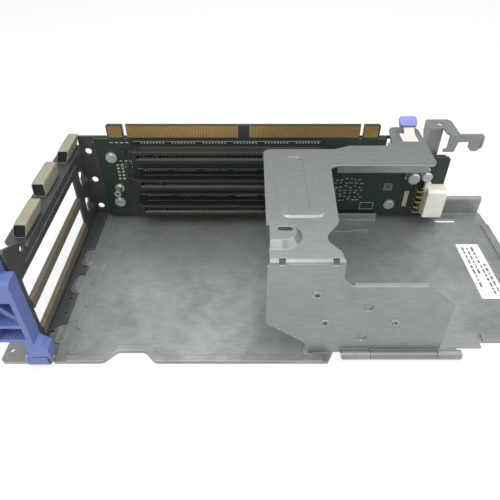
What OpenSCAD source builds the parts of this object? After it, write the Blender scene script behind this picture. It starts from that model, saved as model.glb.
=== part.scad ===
// Riser cage bracket: a folded-sheet cage that carries a vertical riser board with three
// card slots. A hinged securing plate closes its front, a sprung latch holds the plate's
// arm, and a hinged plastic retainer holds the card tabs at the I/O end.
// Frame: X along the cards with the I/O wall at -X, Y towards the board, Z up.
// The origin is the centre of the footprint, on the surface that the tray rests on.

/* [Cage] */
// Overall length, from the tray ledge outside the I/O wall to the far hem
cage_l = 300; // [290:1:360]
// Overall width, from the front hem to the back of the hook bracket
cage_w = 148; // [140:1:180]
// Thickness of the galvanised sheet
sheet_t = 1.2; // [0.8:0.1:1.6]
// Width of the tray's corner ledge outside the I/O wall
ledge_w = 20.5; // [18:0.5:26]
// Width of a folded hem along the tray's edges
hem_w = 5; // [3:0.2:6]
// Height of the upright flange along the tray's back edge
back_flange_h = 13; // [9:0.5:20]

/* [Slots] */
// Distance between two neighbouring card slots
slot_pitch = 20.32; // [18:0.01:24]
// Height of the lowest slot's centre above the table
first_slot_z = 16.1; // [15:0.1:20]
// Length of a slot connector
slot_l = 122; // [89:0.5:130]
// Width of a slot connector
slot_w = 7.6; // [7:0.1:9]
// Height of a slot connector above the board
slot_h = 11.25; // [9:0.05:14]
// Height of the opening for a card's end bracket
opening_h = 14.8; // [11:0.1:15]
// Length of the opening for a card's end bracket
opening_l = 91; // [80:0.5:96]

/* [Riser board] */
// Thickness of the riser board
board_t = 1.6; // [1.2:0.1:2.4]
// Length of the riser board
board_l = 233.5; // [225:0.5:250]
// Length of the edge with the contact fingers
finger_l = 173.8; // [165:0.1:177]
// Gap between the board and the upright wall behind it
board_gap = 2.4; // [2:0.1:4]
// Diameter of a board screw's head
screw_head_d = 7.4; // [6:0.1:8]

/* [Securing plate] */
// Width of the upright plate
plate_w = 92; // [88:0.5:100]
// Width of the arm's pad, from its left edge to the neck
pad_w = 37.2; // [35:0.2:42]
// Width of the arm's beam that runs to the latch
beam_w = 23.6; // [20:0.2:26]
// Height of the plate's low part
plate_low_h = 51.6; // [40:0.2:53]
// Diameter of the open holes in the plate
plate_hole_d = 5.6; // [4:0.1:7]
// Diameter of the hinge pin
hinge_pin_d = 2.5; // [2:0.1:3]
// Outer diameter of the hinge knuckles
knuckle_d = 5.2; // [4.6:0.1:5.6]

/* [Latch and retainer] */
// Width of the spring leaf under the cap
leaf_w = 6.6; // [5:0.1:8]
// Width of the latch cap
cap_w = 11; // [10:0.1:13]
// Slope of the spring leaf
leaf_slope = 28; // [20:1:35]
// Width of the card retainer's body
retainer_w = 17.4; // [14:0.2:20]
// Height of the retainer's front top above the table
retainer_h = 61.2; // [50:0.2:64]
// Height of the retainer's back rest above the table
retainer_back_h = 70.4; // [66:0.2:72]
// Depth of the card retainer
retainer_d = 8.8; // [7:0.2:9]
// Diameter of the retainer's hinge pin
retainer_pin_d = 2.5; // [2:0.1:3]

/* [Hidden] */
$fn = 48;
eps = 0.01;
pin_clearance = 0.06;   // radial, between a hinge pin and its bore
knuckle_gap = 0.4;      // between neighbouring knuckles
press_gap = 0.05;       // between the spring's foot and the arm above it

// Datums. The board, plate and latch keep their distance from the I/O wall.
x_left = -cage_l / 2;
x_right = cage_l / 2;
y_front = -cage_w / 2;
y_back = cage_w / 2;
wall_x = x_left + ledge_w;                 // inner face of the I/O wall
board_y = y_back - 17.5;                   // front face of the board
back_y = board_y + board_t + board_gap;    // front face of the upright back wall
flange_y = back_y + sheet_t;               // front face of the tray's back flange
slot_z = [for (i = [2 : -1 : 0]) first_slot_z + i * slot_pitch];   // top slot first

// Riser board
board_x = wall_x + 10.3;
finger_x = board_x + 9.5;
finger_end = finger_x + finger_l;
board_end = board_x + board_l;
board_z = sheet_t + 3.2;                   // lower edge
shoulder_z = slot_z[0] + slot_w / 2 + 3.7;
finger_z = shoulder_z + 9.6;
low_top_z = shoulder_z - 13.5;             // top edge of the right-hand part
low_top_x = finger_end + 4.7;
locate_pitch = 21.8;                       // between the locating holes in the back wall
slot_x = finger_x + 16.9;                  // left end of the connectors
screw_at = [[board_x + 9.6, slot_z[0] - 5.7], [board_x + 9.6, slot_z[2] - 0.1],
    [finger_end + 15.3, slot_z[2] - 2.3]];
post_at = [board_x + 11.2, slot_z[2] + 11.2];

// Hinge and plate
hinge_y = y_front + 7;
hinge_r = knuckle_d / 2;
hinge_z = hinge_r + 0.3;
bore_r = hinge_pin_d / 2 + pin_clearance;
plate_y = hinge_y + 1.5;                   // front face of the plate
plate_x = wall_x + 119;
plate_end = plate_x + plate_w;
plate_foot_x = plate_x + 25;
arm_z = shoulder_z + 3;                    // top face of the arm
plate_low_z = plate_low_h;                 // top edge of the plate's low part
bend_r = 2 * sheet_t;
knuckle_x = plate_x + 40.6;                // left end of the first knuckle
tray_knuckle_l = 14.4;
plate_knuckle_l = 35;
end_knuckle_l = 12.6;
knuckle_2_x = knuckle_x + tray_knuckle_l + knuckle_gap;
knuckle_3_x = knuckle_2_x + plate_knuckle_l + knuckle_gap;

// Arm
arm_back_y = board_y - 19;                 // back edge of the pad
beam_back_y = board_y - 14.6;
beam_front_y = beam_back_y - beam_w;
lobe_x = plate_x + 80.9;
lobe_end = plate_x + 101;
lobe_back_y = board_y + 10.4;
neck_front_y = board_y - 92.3;             // where the neck starts to narrow
window_x = plate_x + 87.5;
window_w = 10.4;
window_y = board_y - 9.3;
window_l = 13;

// Latch
leaf_t = 0.5;
leaf_x = window_x + window_w / 2 - leaf_w / 2;
leaf_z = arm_z - sheet_t - press_gap;      // top face of the foot
foot_y = window_y - 7.5;                   // the line that the spring flexes about
catch_x = lobe_x + 1.2;
catch_w = 5;
catch_z = leaf_z - 8;
leaf_rise_y = window_y + 0.8;              // where the leaf starts to slope up
leaf_run = 16;                             // length of the slope
cap_run = 12;                              // from the slope's start to the cap

// I/O wall
rim_z = slot_z[0] + 0.5;                   // top face of the flange
flange_w = 12.3;
ear_z = retainer_back_h + 0.4;               // top of the wall's front ear
wall_front_y = hinge_y + 4;
flange_front_y = board_y - 97.5;
opening_back_y = board_y - 22;
opening_off_z = 3.6;                       // card bracket's centre above its connector

// Hook bracket
hook_z = shoulder_z + 5;                   // top face
hook_x = low_top_x + 28.7;
hook_w = 16.5;
hook_post_w = 8.8;
hook_leg_y = board_y - 4.2;
hook_reach = 31.8;

// Retainer
retainer_x = wall_x + 3.5 - retainer_w;
tray_front_y = y_front + 3.2;              // front edge of the tray
retainer_axis_y = y_front + 4.6;
retainer_axis_z = 4.6;
retainer_r = 4.3;
retainer_y = y_front;                      // front face
frame_z = 21.5;                            // underside of the retainer's frame
cuff_z = retainer_axis_z + retainer_r - 0.3;   // underside of the cuff over the barrel
barrel_x = wall_x - 4;
barrel_l = 10.6;
retainer_bore_r = retainer_pin_d / 2 + pin_clearance;
ear_t = sheet_t;
ear_gap = 0.35;
notch_x = [barrel_x - ear_gap - ear_t, barrel_x + barrel_l + ear_gap + ear_t];

// Points of an S-shaped step from one height to another.
function s_step(x0, x1, y0, y1, n = 8) =
    [for (i = [0 : n]) [x0 + (x1 - x0) * i / n, y0 + (y1 - y0) * (1 - cos(180 * i / n)) / 2]];

// Rounds the outer corners of a flat shape.
module rounded(r) {
    offset(r = r, $fn = 24) offset(delta = -r) children();
}

// Extrudes a flat (x, z) shape along Y, from y0 to y0 + t.
module xz(y0, t) {
    translate([0, y0 + t, 0]) rotate([90, 0, 0]) linear_extrude(t) children();
}

// Extrudes a flat (y, z) shape along X, from x0 to x0 + t.
module yz(x0, t) {
    translate([x0, 0, 0]) rotate([90, 0, 90]) linear_extrude(t) children();
}

// Box between two corners.
module block(low, high) {
    translate(low) cube(high - low);
}

// Flat rectangle between two corners.
module area(low, high) {
    translate(low) square(high - low);
}

// Flat slot with round ends, centred, its length along the first axis.
module oblong(l, w) {
    square([l - w, w], center = true);
    for (s = [-1, 1]) translate([s * (l - w) / 2, 0]) circle(d = w, $fn = 24);
}

// Quarter ring of a sheet bend in the first quadrant.
module bend(r, t) {
    intersection() {
        difference() {
            circle(r);
            circle(r - t);
        }
        square(r + 1);
    }
}

// Cylinder along Y that starts at y0.
module y_rod(x, z, y0, l, d) {
    translate([x, y0, z]) rotate([-90, 0, 0]) cylinder(h = l, d = d);
}

// Cylinder along X that starts at x0.
module x_rod(y, z, x0, l, r) {
    translate([x0, y, z]) rotate([0, 90, 0]) cylinder(h = l, r = r);
}

// ---------------------------------------------------------------- tray

tray_back_x = finger_end + 83.2;          // where the back edge is cut off
hem_front_y = y_front + 17;                // front edge of the right-hand part
tab_front_y = y_front + 13.3;
hinge_floor_y = plate_y + 3;               // front edge of the floor behind the plate
front_hem_end = plate_foot_x + 8;
ledge_back_y = y_front + 23;
dip_x = wall_x + 47.4;                     // centre of the dip in the front edge
dip_w = 12;
dip_step = 9;
dip_d = 7;

module tray_outline() {
    polygon(concat(
        [[x_left, tray_front_y + 2], [x_left + 2, tray_front_y], [notch_x[0], tray_front_y],
         [notch_x[0], wall_front_y - 1.5], [notch_x[1], wall_front_y - 1.5],
         [notch_x[1], tray_front_y]],
        s_step(dip_x - dip_w / 2 - dip_step, dip_x - dip_w / 2, tray_front_y,
            tray_front_y + dip_d),
        s_step(dip_x + dip_w / 2, dip_x + dip_w / 2 + dip_step, tray_front_y + dip_d,
            tray_front_y),
        [[front_hem_end, tray_front_y], [front_hem_end + 4, hinge_floor_y],
         [knuckle_3_x + end_knuckle_l - 5, hinge_floor_y],
         [knuckle_3_x + end_knuckle_l - 5, tab_front_y],
         [knuckle_3_x + end_knuckle_l + 14, tab_front_y],
         [knuckle_3_x + end_knuckle_l + 14, hem_front_y],
         [x_right, hem_front_y], [x_right, board_y - 7],
         [tray_back_x + 2, flange_y + sheet_t], [wall_x - sheet_t, flange_y + sheet_t],
         [wall_x - sheet_t, ledge_back_y], [x_left + 3, ledge_back_y],
         [x_left, ledge_back_y - 3]]));
}

// U-shaped stiffening rib pressed up from the floor, open towards the back.
module u_rib(x, y) {
    rib_l = 12;
    rib_w = 5.6;
    rib = 1.2;
    translate([x, y, sheet_t - eps]) linear_extrude(0.9) difference() {
        union() {
            translate([0, -rib_l / 2 + rib_w / 2]) circle(d = rib_w, $fn = 24);
            area([-rib_w / 2, -rib_l / 2 + rib_w / 2], [rib_w / 2, rib_l / 2]);
        }
        translate([0, -rib_l / 2 + rib_w / 2]) circle(d = rib_w - 2 * rib, $fn = 24);
        area([-rib_w / 2 + rib, -rib_l / 2 + rib_w / 2], [rib_w / 2 - rib, rib_l / 2 + 1]);
    }
}

// Rolled knuckle of the tray with the tongue that joins it to the floor.
module tray_knuckle(x, l) {
    x_rod(hinge_y, hinge_z, x, l, hinge_r);
    block([x, hinge_y, 0], [x + l, hinge_floor_y + 1, sheet_t]);
}

// Ear of the tray that holds one end of the retainer's pin.
module retainer_ear(x) {
    yz(x, ear_t) hull() {
        translate([retainer_axis_y, retainer_axis_z]) circle(r = 2.6, $fn = 32);
        area([tray_front_y + 1, 0], [wall_front_y + 3, sheet_t]);
    }
}

module tray() {
    color("silver") difference() {
        union() {
            linear_extrude(sheet_t) tray_outline();
            // front hem, folded up and flat
            translate([0, 0, sheet_t - eps]) linear_extrude(sheet_t) intersection() {
                difference() {
                    tray_outline();
                    offset(delta = -hem_w + 1) tray_outline();
                }
                area([notch_x[1] + 6, tray_front_y - 1], [front_hem_end - 3, tray_front_y + 14]);
            }
            // right hem and right-hand front hem
            block([x_right - hem_w, hem_front_y, sheet_t - eps],
                [x_right, board_y - 9, 2 * sheet_t]);
            block([knuckle_3_x + end_knuckle_l + 16, hem_front_y, sheet_t - eps],
                [x_right, hem_front_y + hem_w, 2 * sheet_t]);
            // lanced stop tab under the plate's lower corner
            yz(plate_x + 20.5, 5) polygon([[tray_front_y + 3, sheet_t - eps],
                [tray_front_y + 9.6, sheet_t - eps], [tray_front_y + 9.6, sheet_t + 1.6]]);
            // upright back flange with a curled top at its free end
            block([board_x + 2, flange_y, 0], [tray_back_x, flange_y + sheet_t, back_flange_h]);
            x_rod(flange_y + 2.1, back_flange_h - 0.2, board_end + 3, tray_back_x - board_end - 3,
                2.1);
            tray_knuckle(knuckle_x, tray_knuckle_l);
            tray_knuckle(knuckle_3_x, end_knuckle_l);
            for (x = [notch_x[0], notch_x[1] - ear_t]) retainer_ear(x);
            for (y = [-44, -68.4, -109.2]) u_rib(wall_x + 6.3, board_y + y);
            for (i = [0 : 4]) u_rib(wall_x + 16, board_y - 116.4 + i * 17.4);
        }
        x_rod(hinge_y, hinge_z, knuckle_x - 1, tray_knuckle_l + 2, bore_r);
        x_rod(hinge_y, hinge_z, knuckle_3_x - 1, end_knuckle_l + 2, bore_r);
        x_rod(flange_y + 2.1, back_flange_h - 0.2, tray_back_x - 8, 9, 1.1);
        x_rod(retainer_axis_y, retainer_axis_z, notch_x[0] - 1, notch_x[1] - notch_x[0] + 2,
            retainer_bore_r);
        // slot beside the board's end
        translate([board_end + 7.4, board_y - 3.7, -1]) linear_extrude(4) oblong(15, 3.2);
        // small hole in the ledge
        translate([x_left + 3.6, y_front + 11.3, -1]) cylinder(h = 4, d = 2.6);
        for (x = wall_rivet_x) y_rod(x, wall_rivet_z, flange_y - 1, 4, rivet_d);
    }
}

// ---------------------------------------------------------------- rear frame

rivet_d = 3;
wall_rivet_z = 8.6;
wall_rivet_x = [board_x + 6, board_x + 84, board_x + 150, board_end - 12];
tab_top_z = arm_z - 3.2;                   // top of the striker tab for the latch
tab_end = lobe_x + 8.5;
strike_z = catch_z - 3.4;                  // lower edge of the striker hole
strike_h = 7.6;
perf_pitch = 6.1;
perf_n = 11;
perf_d = 1.8;
foot_flange_w = 7.3;

module back_wall_outline() {
    top = shoulder_z - 0.2;
    polygon([[wall_x - sheet_t, sheet_t], [board_end - 2, sheet_t],
        [board_end - 2, low_top_z - 0.8], [tab_end, low_top_z - 0.8], [tab_end, tab_top_z],
        [lobe_x - 1, tab_top_z], [lobe_x - 4, top], [wall_x - sheet_t, top]]);
}

// Outline of the I/O wall, in (y, z), with an ear that rises in front of the flange.
module wall_outline() {
    ear = flange_front_y;
    polygon([[wall_front_y, sheet_t], [back_y + sheet_t, sheet_t], [back_y + sheet_t, rim_z],
        [ear, rim_z], [ear - 0.6, rim_z + 2.4], [ear - 9.5, rim_z + 8.2],
        [ear - 15, rim_z + 10.8], [wall_front_y + 1.6, ear_z], [wall_front_y, ear_z - 1]]);
}

// Foot flange of the I/O wall, cut away round the tray's ribs.
module foot_flange() {
    difference() {
        translate([0, 0, sheet_t]) linear_extrude(sheet_t)
            area([wall_x - eps, wall_front_y + 13], [wall_x + foot_flange_w, back_y]);
        for (y = [-44, -68.4, -109.2])
            translate([wall_x + 6.3, board_y + y, 0]) linear_extrude(4) oblong_y(17, 9);
    }
}

module oblong_y(l, w) {
    rotate(90) oblong(l, w);
}

module rear_frame() {
    color("dimgray") difference() {
        union() {
            // I/O wall
            yz(wall_x - sheet_t, sheet_t) wall_outline();
            // back wall
            xz(back_y, sheet_t) back_wall_outline();
            // outward flange for the gaskets
            translate([0, 0, rim_z - sheet_t]) linear_extrude(sheet_t) rounded(3)
                area([wall_x - flange_w, flange_front_y], [wall_x - eps, back_y + sheet_t]);
            // stiffening bead along the perforated strip
            yz(wall_x - eps, 0.8) area([flange_front_y - 7.7, rim_z - 5.8],
                [opening_back_y + 8, rim_z - 4.6]);
            foot_flange();
            // upright bead beside the board
            xz(back_y - 0.8, 0.8 + eps) area([board_x - 2.4, sheet_t + 4],
                [board_x - 1.2, shoulder_z - 4]);
        }
        // openings for the end brackets of the two lower cards
        for (i = [1, 2]) yz(wall_x - 3, 6) area(
            [opening_back_y - opening_l, slot_z[i] + opening_off_z - opening_h / 2],
            [opening_back_y, slot_z[i] + opening_off_z + opening_h / 2]);
        // keyhole slots for the brackets' tongues
        for (i = [1, 2]) yz(wall_x - 3, 6)
            translate([board_y - 10.2, slot_z[i] + opening_off_z + 0.6]) {
                oblong_y(11.4, 3.6);
                translate([2.8, 1.8]) circle(d = 5);
            }
        // row of small holes at the flange's bend
        for (i = [0 : perf_n - 1]) x_rod(opening_back_y - 7 - i * perf_pitch,
            rim_z - sheet_t - perf_d / 2 + 0.6, wall_x - 3, 6, perf_d / 2);
        // relief at the bend's end, and a hole in the ear
        x_rod(flange_front_y - 0.5, rim_z + 0.6, wall_x - 3, 6, 1.6);
        x_rod(flange_front_y - 6.3, rim_z + 2.4, wall_x - 3, 6, 1.9);
        // locating holes near the corner
        for (i = [0 : 2])
            y_rod(wall_x + 4.1, slot_z[0] - 3.7 - i * locate_pitch, back_y - 2, 6, 4.4);
        // lanced bridges in the foot flange
        for (y = [-55, -82.9, -94.6]) translate([wall_x + 4, board_y + y, 0])
            linear_extrude(4) difference() {
                circle(d = 4, $fn = 24);
                translate([0, -1.1]) circle(d = 4, $fn = 24);
            }
        // striker hole for the latch
        block([catch_x - 0.8, back_y - 1, strike_z],
            [catch_x + catch_w + 0.8, back_y + 3, strike_z + strike_h]);
        for (x = wall_rivet_x) y_rod(x, wall_rivet_z, back_y - 1, 4, rivet_d);
        for (z = hook_rivet_z) y_rod(hook_x + hook_post_w / 2, z, back_y - 1, 4, rivet_d);
        for (p = screw_at) y_rod(p[0], p[1], back_y - 1, 4, 3);
    }
}

module rivet(x, z, y0, grip) {
    y_rod(x, z, y0 - 0.9, 0.9, rivet_d + 2.4);
    y_rod(x, z, y0 - eps, grip + 2 * eps, rivet_d);
    y_rod(x, z, y0 + grip, 0.9, rivet_d + 1.6);
}

module wall_rivets() {
    color("lightgray") for (x = wall_rivet_x) rivet(x, wall_rivet_z, back_y, 2 * sheet_t);
}

// ---------------------------------------------------------------- riser board

key_w = 2;
key_in = 10.6;

module riser_board() {
    color("#0f2a20") difference() {
        xz(board_y, board_t) difference() {
            polygon([[board_x, board_z], [board_end, board_z],
                [board_end, low_top_z - 1.5], [board_end - 1.5, low_top_z],
                [low_top_x, low_top_z], [low_top_x, shoulder_z], [finger_end, shoulder_z],
                [finger_end, finger_z - 0.8], [finger_end - 0.8, finger_z],
                [finger_x + 0.8, finger_z], [finger_x, finger_z - 0.8],
                [finger_x, shoulder_z], [board_x, shoulder_z]]);
            for (x = [finger_x + key_in, finger_end - key_in - key_w])
                area([x, shoulder_z + 1], [x + key_w, finger_z + 1]);
        }
        for (x = [finger_x + key_in, finger_end - key_in - key_w])
            y_rod(x + key_w / 2, shoulder_z + 1, board_y - 1, board_t + 2, key_w);
        for (p = screw_at) y_rod(p[0], p[1], board_y - 1, board_t + 2, 3.4);
        y_rod(post_at[0], post_at[1], board_y - 1, board_t + 2, 3);
    }
}

contact_pitch = 2;
contact_n = 55;
groove_w = 1.8;
groove_d = 8.2;
key_pos = 15.2;                            // key rib from the connector's left end

module slot_connector(i) {
    z = slot_z[i];
    y = board_y - slot_h;
    color("#161616") difference() {
        union() {
            block([slot_x, y, z - slot_w / 2], [slot_x + slot_l, board_y, z + slot_w / 2]);
            // raised end blocks
            block([slot_x - 3, y + 2, z - slot_w / 2 + 0.6],
                [slot_x, board_y, z + slot_w / 2 - 0.6]);
        }
        // card groove, parted by the key rib
        block([slot_x + 2.2, y - 1, z - groove_w / 2],
            [slot_x + key_pos - 0.9, y + groove_d, z + groove_w / 2]);
        block([slot_x + key_pos + 0.9, y - 1, z - groove_w / 2],
            [slot_x + slot_l - 2.2, y + groove_d, z + groove_w / 2]);
        // lead-in along both lips
        for (s = [-1, 1]) yz(slot_x + 2.2, slot_l - 4.4) polygon(
            [[y - eps, z + s * (groove_w / 2 + 0.8)], [y - eps, z], [y + 1, z],
             [y + 1, z + s * groove_w / 2]]);
        // relief steps in the long sides
        for (s = [-1, 1]) translate([slot_x + 4, y + 5.4, z + s * (slot_w / 2) - 0.5])
            cube([slot_l - 8, 1.4, 1]);
    }
}

// One row of contact springs inside a slot, on one side of the card groove.
module contact_row(i, s) {
    comb_d = 6;
    y = board_y - slot_h + 1.6;
    z = slot_z[i] + s * (groove_w / 2 - 0.15) - 0.15;
    translate([0, 0, z]) linear_extrude(0.3) union() {
        area([slot_x + 3, y + comb_d - 0.6], [slot_x + key_pos - 1.2, y + comb_d]);
        area([slot_x + key_pos + 1.2, y + comb_d - 0.6], [slot_x + slot_l - 3, y + comb_d]);
        for (k = [0 : contact_n]) {
            x = slot_x + 4 + k * contact_pitch;
            if (abs(x - slot_x - key_pos) > 1.8) area([x, y], [x + 0.7, y + comb_d - 0.5]);
        }
    }
}

module slot_contacts() {
    color("gold") for (i = [0 : 2]) for (s = [-1, 1]) contact_row(i, s);
}

module board_standoffs() {
    color("silver") for (p = screw_at) difference() {
        y_rod(p[0], p[1], board_y + board_t, board_gap, 6);
        y_rod(p[0], p[1], board_y + board_t - 1, board_gap + 2, 3);
    }
}

module board_screws() {
    color("gainsboro") for (p = screw_at) difference() {
        union() {
            y_rod(p[0], p[1], board_y - 1.4, 1.4, screw_head_d);
            y_rod(p[0], p[1], board_y - 2.1, 0.8, screw_head_d - 2.2);
            y_rod(p[0], p[1], board_y - eps, board_t + board_gap + sheet_t, 3);
        }
        // cross recess
        for (a = [0, 90]) translate([p[0], board_y - 1.6, p[1]]) rotate([0, a + 20, 0])
            cube([3.6, 1.4, 0.8], center = true);
    }
}

module guide_post() {
    color("silver") difference() {
        union() {
            y_rod(post_at[0], post_at[1], board_y - 8.5, 8.5, 4.4);
            y_rod(post_at[0], post_at[1], board_y - 1.2, 1.2, 6.4);
            y_rod(post_at[0], post_at[1], board_y - eps, board_t + 0.4, 3);
        }
        y_rod(post_at[0], post_at[1], board_y - 9.5, 5, 2);
    }
}

can_h = 8;
can_at = [[low_top_x + 21.6, low_top_z - 12.3, 8], [low_top_x + 30, low_top_z - 11, 7]];

module capacitors() {
    for (p = can_at) {
        r = p[2] / 2;
        color("silver") translate([p[0], board_y - 1, p[1]]) rotate([90, 0, 0])
            rotate_extrude() polygon([[0, 0], [r, 0], [r, 1.4], [r - 0.4, 1.8], [r, 2.2],
                [r, can_h - 1.6], [r - 0.6, can_h - 1], [0, can_h - 1]]);
        color("#202020") xz(board_y - 1 - eps, 1 + eps) translate([p[0], p[1]]) rounded(1.5)
            square(p[2] + 0.1, center = true);
    }
}

header_x = board_end - 12.6;
header_z = board_z + 4.3;
header_w = 12.9;
header_h = 21.4;
header_d = 9.4;
lead_n = 5;
lead_pitch = 4.2;

module power_header() {
    y = board_y - header_d;
    color("ivory") difference() {
        union() {
            yz(header_x, header_w) polygon([[y, header_z], [board_y, header_z],
                [board_y, header_z + header_h], [y + 1.6, header_z + header_h],
                [y, header_z + header_h - 1.6]]);
            // polarising lug on the corner of the housing
            xz(board_y - 4.6, 2.6) hull() {
                translate([header_x + 0.4, header_z + header_h + 2.6]) circle(d = 4, $fn = 24);
                area([header_x - 1.4, header_z + header_h - 4],
                    [header_x + 2.4, header_z + header_h]);
            }
        }
        // sockets, open to the right
        for (k = [0 : lead_n - 1]) for (r = [0, 1])
            block([header_x + 3, y + 1.4 + r * 4, header_z + 0.9 + k * lead_pitch],
                [header_x + header_w + 1, y + 4.2 + r * 4,
                 header_z + 0.9 + k * lead_pitch + 3.2]);
    }
}

module header_pins() {
    color("goldenrod") for (k = [0 : lead_n - 1]) for (r = [0, 1]) {
        z = header_z + 2.2 + k * lead_pitch;
        y = board_y - header_d + 2.5 + r * 4;
        x = header_x - 3 - (1 - r) * 3.8;
        block([x, y, z], [header_x + header_w - 2, y + 0.64, z + 0.64]);
        block([x, y, z], [x + 0.64, board_y + board_t + 0.8, z + 0.64]);
    }
}

// Small outline chip with a row of legs on two sides, lying on the board.
module chip(x, z, w, h, t) {
    block([x, board_y - t, z], [x + w, board_y, z + h]);
}

chip_at = [[29.5, 4, 4.4, 5, 1.4], [33, 13.5, 3, 3, 1], [32.6, 24, 4, 4.4, 1.6]];

module board_chips() {
    color("#1b1b1b") for (c = chip_at)
        chip(finger_x + c[0] - 24, shoulder_z - 4 - c[1] - c[3], c[2], c[3], c[4]);
}

passive_n = 14;

// Chip resistors and capacitors in two loose columns beside the connectors.
module board_passives() {
    color("tan") for (k = [0 : passive_n - 1]) {
        x = finger_x + 2.4 + 3 * (k % 2);
        z = shoulder_z - 19.5 - 2.6 * floor(k / 2);
        if (norm([x - post_at[0], z - post_at[1]]) > 6
            && norm([x - screw_at[1][0], z - screw_at[1][1]]) > 6)
            chip(x, z, 1.6, 0.9, 0.7);
    }
    // fuse strip beside the header's leads
    color("gainsboro") chip(low_top_x + 19.9, header_z + 3.4, 3, 12.4, 0.8);
}

// ---------------------------------------------------------------- seals

gasket_t = 0.8;

// Clip-on seal over the lower edge of an opening, its inner side cut into fingers.
module slot_gasket(i, w) {
    z = slot_z[i] + opening_off_z - opening_h / 2;
    y0 = opening_back_y - opening_l;
    finger_pitch = 5;
    color("#8a7a58") difference() {
        translate([0, opening_back_y, 0]) rotate([90, 0, 0]) linear_extrude(opening_l) polygon(
            [[wall_x - sheet_t - gasket_t, z - 2.6], [wall_x - sheet_t, z - 2.6],
             [wall_x - sheet_t, z], [wall_x, z], [wall_x, z - w], [wall_x + gasket_t, z - w],
             [wall_x + gasket_t, z + gasket_t - 0.3], [wall_x + gasket_t - 0.3, z + gasket_t],
             [wall_x - sheet_t - gasket_t + 0.3, z + gasket_t],
             [wall_x - sheet_t - gasket_t, z + gasket_t - 0.3]]);
        for (y = [y0 + finger_pitch : finger_pitch : opening_back_y - 1])
            block([wall_x - eps, y, z - w - 1], [wall_x + 2, y + 0.5, z - 1]);
    }
}

foam_w = 7.4;
foam_h = 9;

// Conductive foam gasket on the flange; lean moves its top towards the wall.
module foam_gasket(x, y, l, lean) {
    color("#b9b29a") translate([0, y, 0]) rotate([90, 0, 0]) mirror([0, 0, 1])
        linear_extrude(l) rounded(0.9) polygon([[x, rim_z], [x + foam_w, rim_z],
            [x + foam_w + lean, rim_z + foam_h], [x + lean, rim_z + foam_h]]);
}

// ---------------------------------------------------------------- hook bracket

hook_rivet_z = [low_top_z - 22, low_top_z - 9];

module hook_bracket() {
    x = hook_x;
    post_y = back_y + sheet_t;
    top = hook_z;
    color("gray") difference() {
        union() {
            // post behind the board
            block([x, post_y, low_top_z - 28], [x + hook_post_w, post_y + sheet_t, top]);
            // top plate
            translate([0, 0, top - sheet_t]) linear_extrude(sheet_t) polygon(
                [[x, post_y], [x + hook_post_w, post_y], [x + hook_post_w, hook_leg_y + 4],
                 [x + hook_post_w + 1.4, hook_leg_y], [x + hook_w, hook_leg_y],
                 [x + hook_w, y_back - 2], [x + hook_w - 2, y_back], [x + 1, y_back],
                 [x, y_back - 1]]);
            // left-hand side flange
            yz(x, sheet_t) polygon([[post_y, top], [y_back - 1, top], [y_back - 1, top - 7],
                [post_y + sheet_t, low_top_z - 4], [post_y, low_top_z - 4]]);
            // leg, arm and hook, all in one upright plane
            xz(hook_leg_y, sheet_t) difference() {
                polygon([[x + hook_post_w + 1.4, top], [x + hook_reach - 1, top],
                    [x + hook_reach, top - 1.5], [x + hook_reach, top - 9],
                    [x + hook_reach - 2.6, top - 11.6], [x + hook_reach - 6, top - 11.6],
                    [x + hook_reach - 8.4, top - 9], [x + hook_reach - 8.4, top - 5.2],
                    [x + hook_w, top - 5.2], [x + hook_w - 1.4, top - 12.2],
                    [x + hook_post_w - 0.6, top - 12.2], [x + hook_post_w - 0.6, top - 10.2],
                    [x + hook_post_w + 1.4, top - 10.2]]);
            }
            // rolled outer edge of the hook
            translate([x + hook_reach - 0.4, hook_leg_y + sheet_t / 2, top - 9])
                cylinder(h = 7.4, d = 2.2);
        }
        translate([x + 8, y_back - 6, top - 3]) cylinder(h = 6, d = 4.2);
        for (z = hook_rivet_z) y_rod(x + hook_post_w / 2, z, post_y - 1, 4, rivet_d);
    }
}

module hook_rivets() {
    color("lightgray") for (z = hook_rivet_z)
        rivet(hook_x + hook_post_w / 2, z, back_y, 2 * sheet_t);
}

// ---------------------------------------------------------------- board clip

clip_x = finger_x + 146;

// Folded clip on the tray that steadies the board's lower edge.
module board_clip() {
    color("gainsboro") difference() {
        union() {
            block([clip_x, board_y - 17.5, sheet_t], [clip_x + 16, board_y - 2, 2 * sheet_t]);
            block([clip_x + 16 - eps, board_y - 4.4, sheet_t],
                [clip_x + 35, board_y - 1.6, 2 * sheet_t]);
            block([clip_x + 16 - eps, board_y - 16.4, sheet_t],
                [clip_x + 28, board_y - 13.4, 2 * sheet_t]);
            block([clip_x + 3, board_y - 3.2, sheet_t], [clip_x + 35, board_y - 2, 7]);
        }
        translate([clip_x + 6, board_y - 9.5, 0]) cylinder(h = 6, d = 3);
    }
}

// ---------------------------------------------------------------- securing plate

plate_bottom = hinge_z + 0.2;
chamfer_z = plate_bottom + 26.6;

// Outline of the upright plate, in (x, z).
module plate_outline() {
    offset(r = -4, $fn = 48) offset(r = 4, $fn = 48) offset(r = 3, $fn = 48) offset(delta = -3)
        polygon([[plate_x, arm_z - bend_r + 4], [plate_x, chamfer_z - 4],
            [plate_foot_x - 5, plate_bottom + 8], [plate_foot_x, plate_bottom - 6],
            [plate_end, plate_bottom - 6], [plate_end, plate_low_z - 12],
            [plate_end - 14.5, plate_low_z], [plate_x + 40, plate_low_z],
            [plate_x + 35.4, plate_low_z + 5], [plate_x + 35.4, arm_z - bend_r + 4]]);
}

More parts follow.
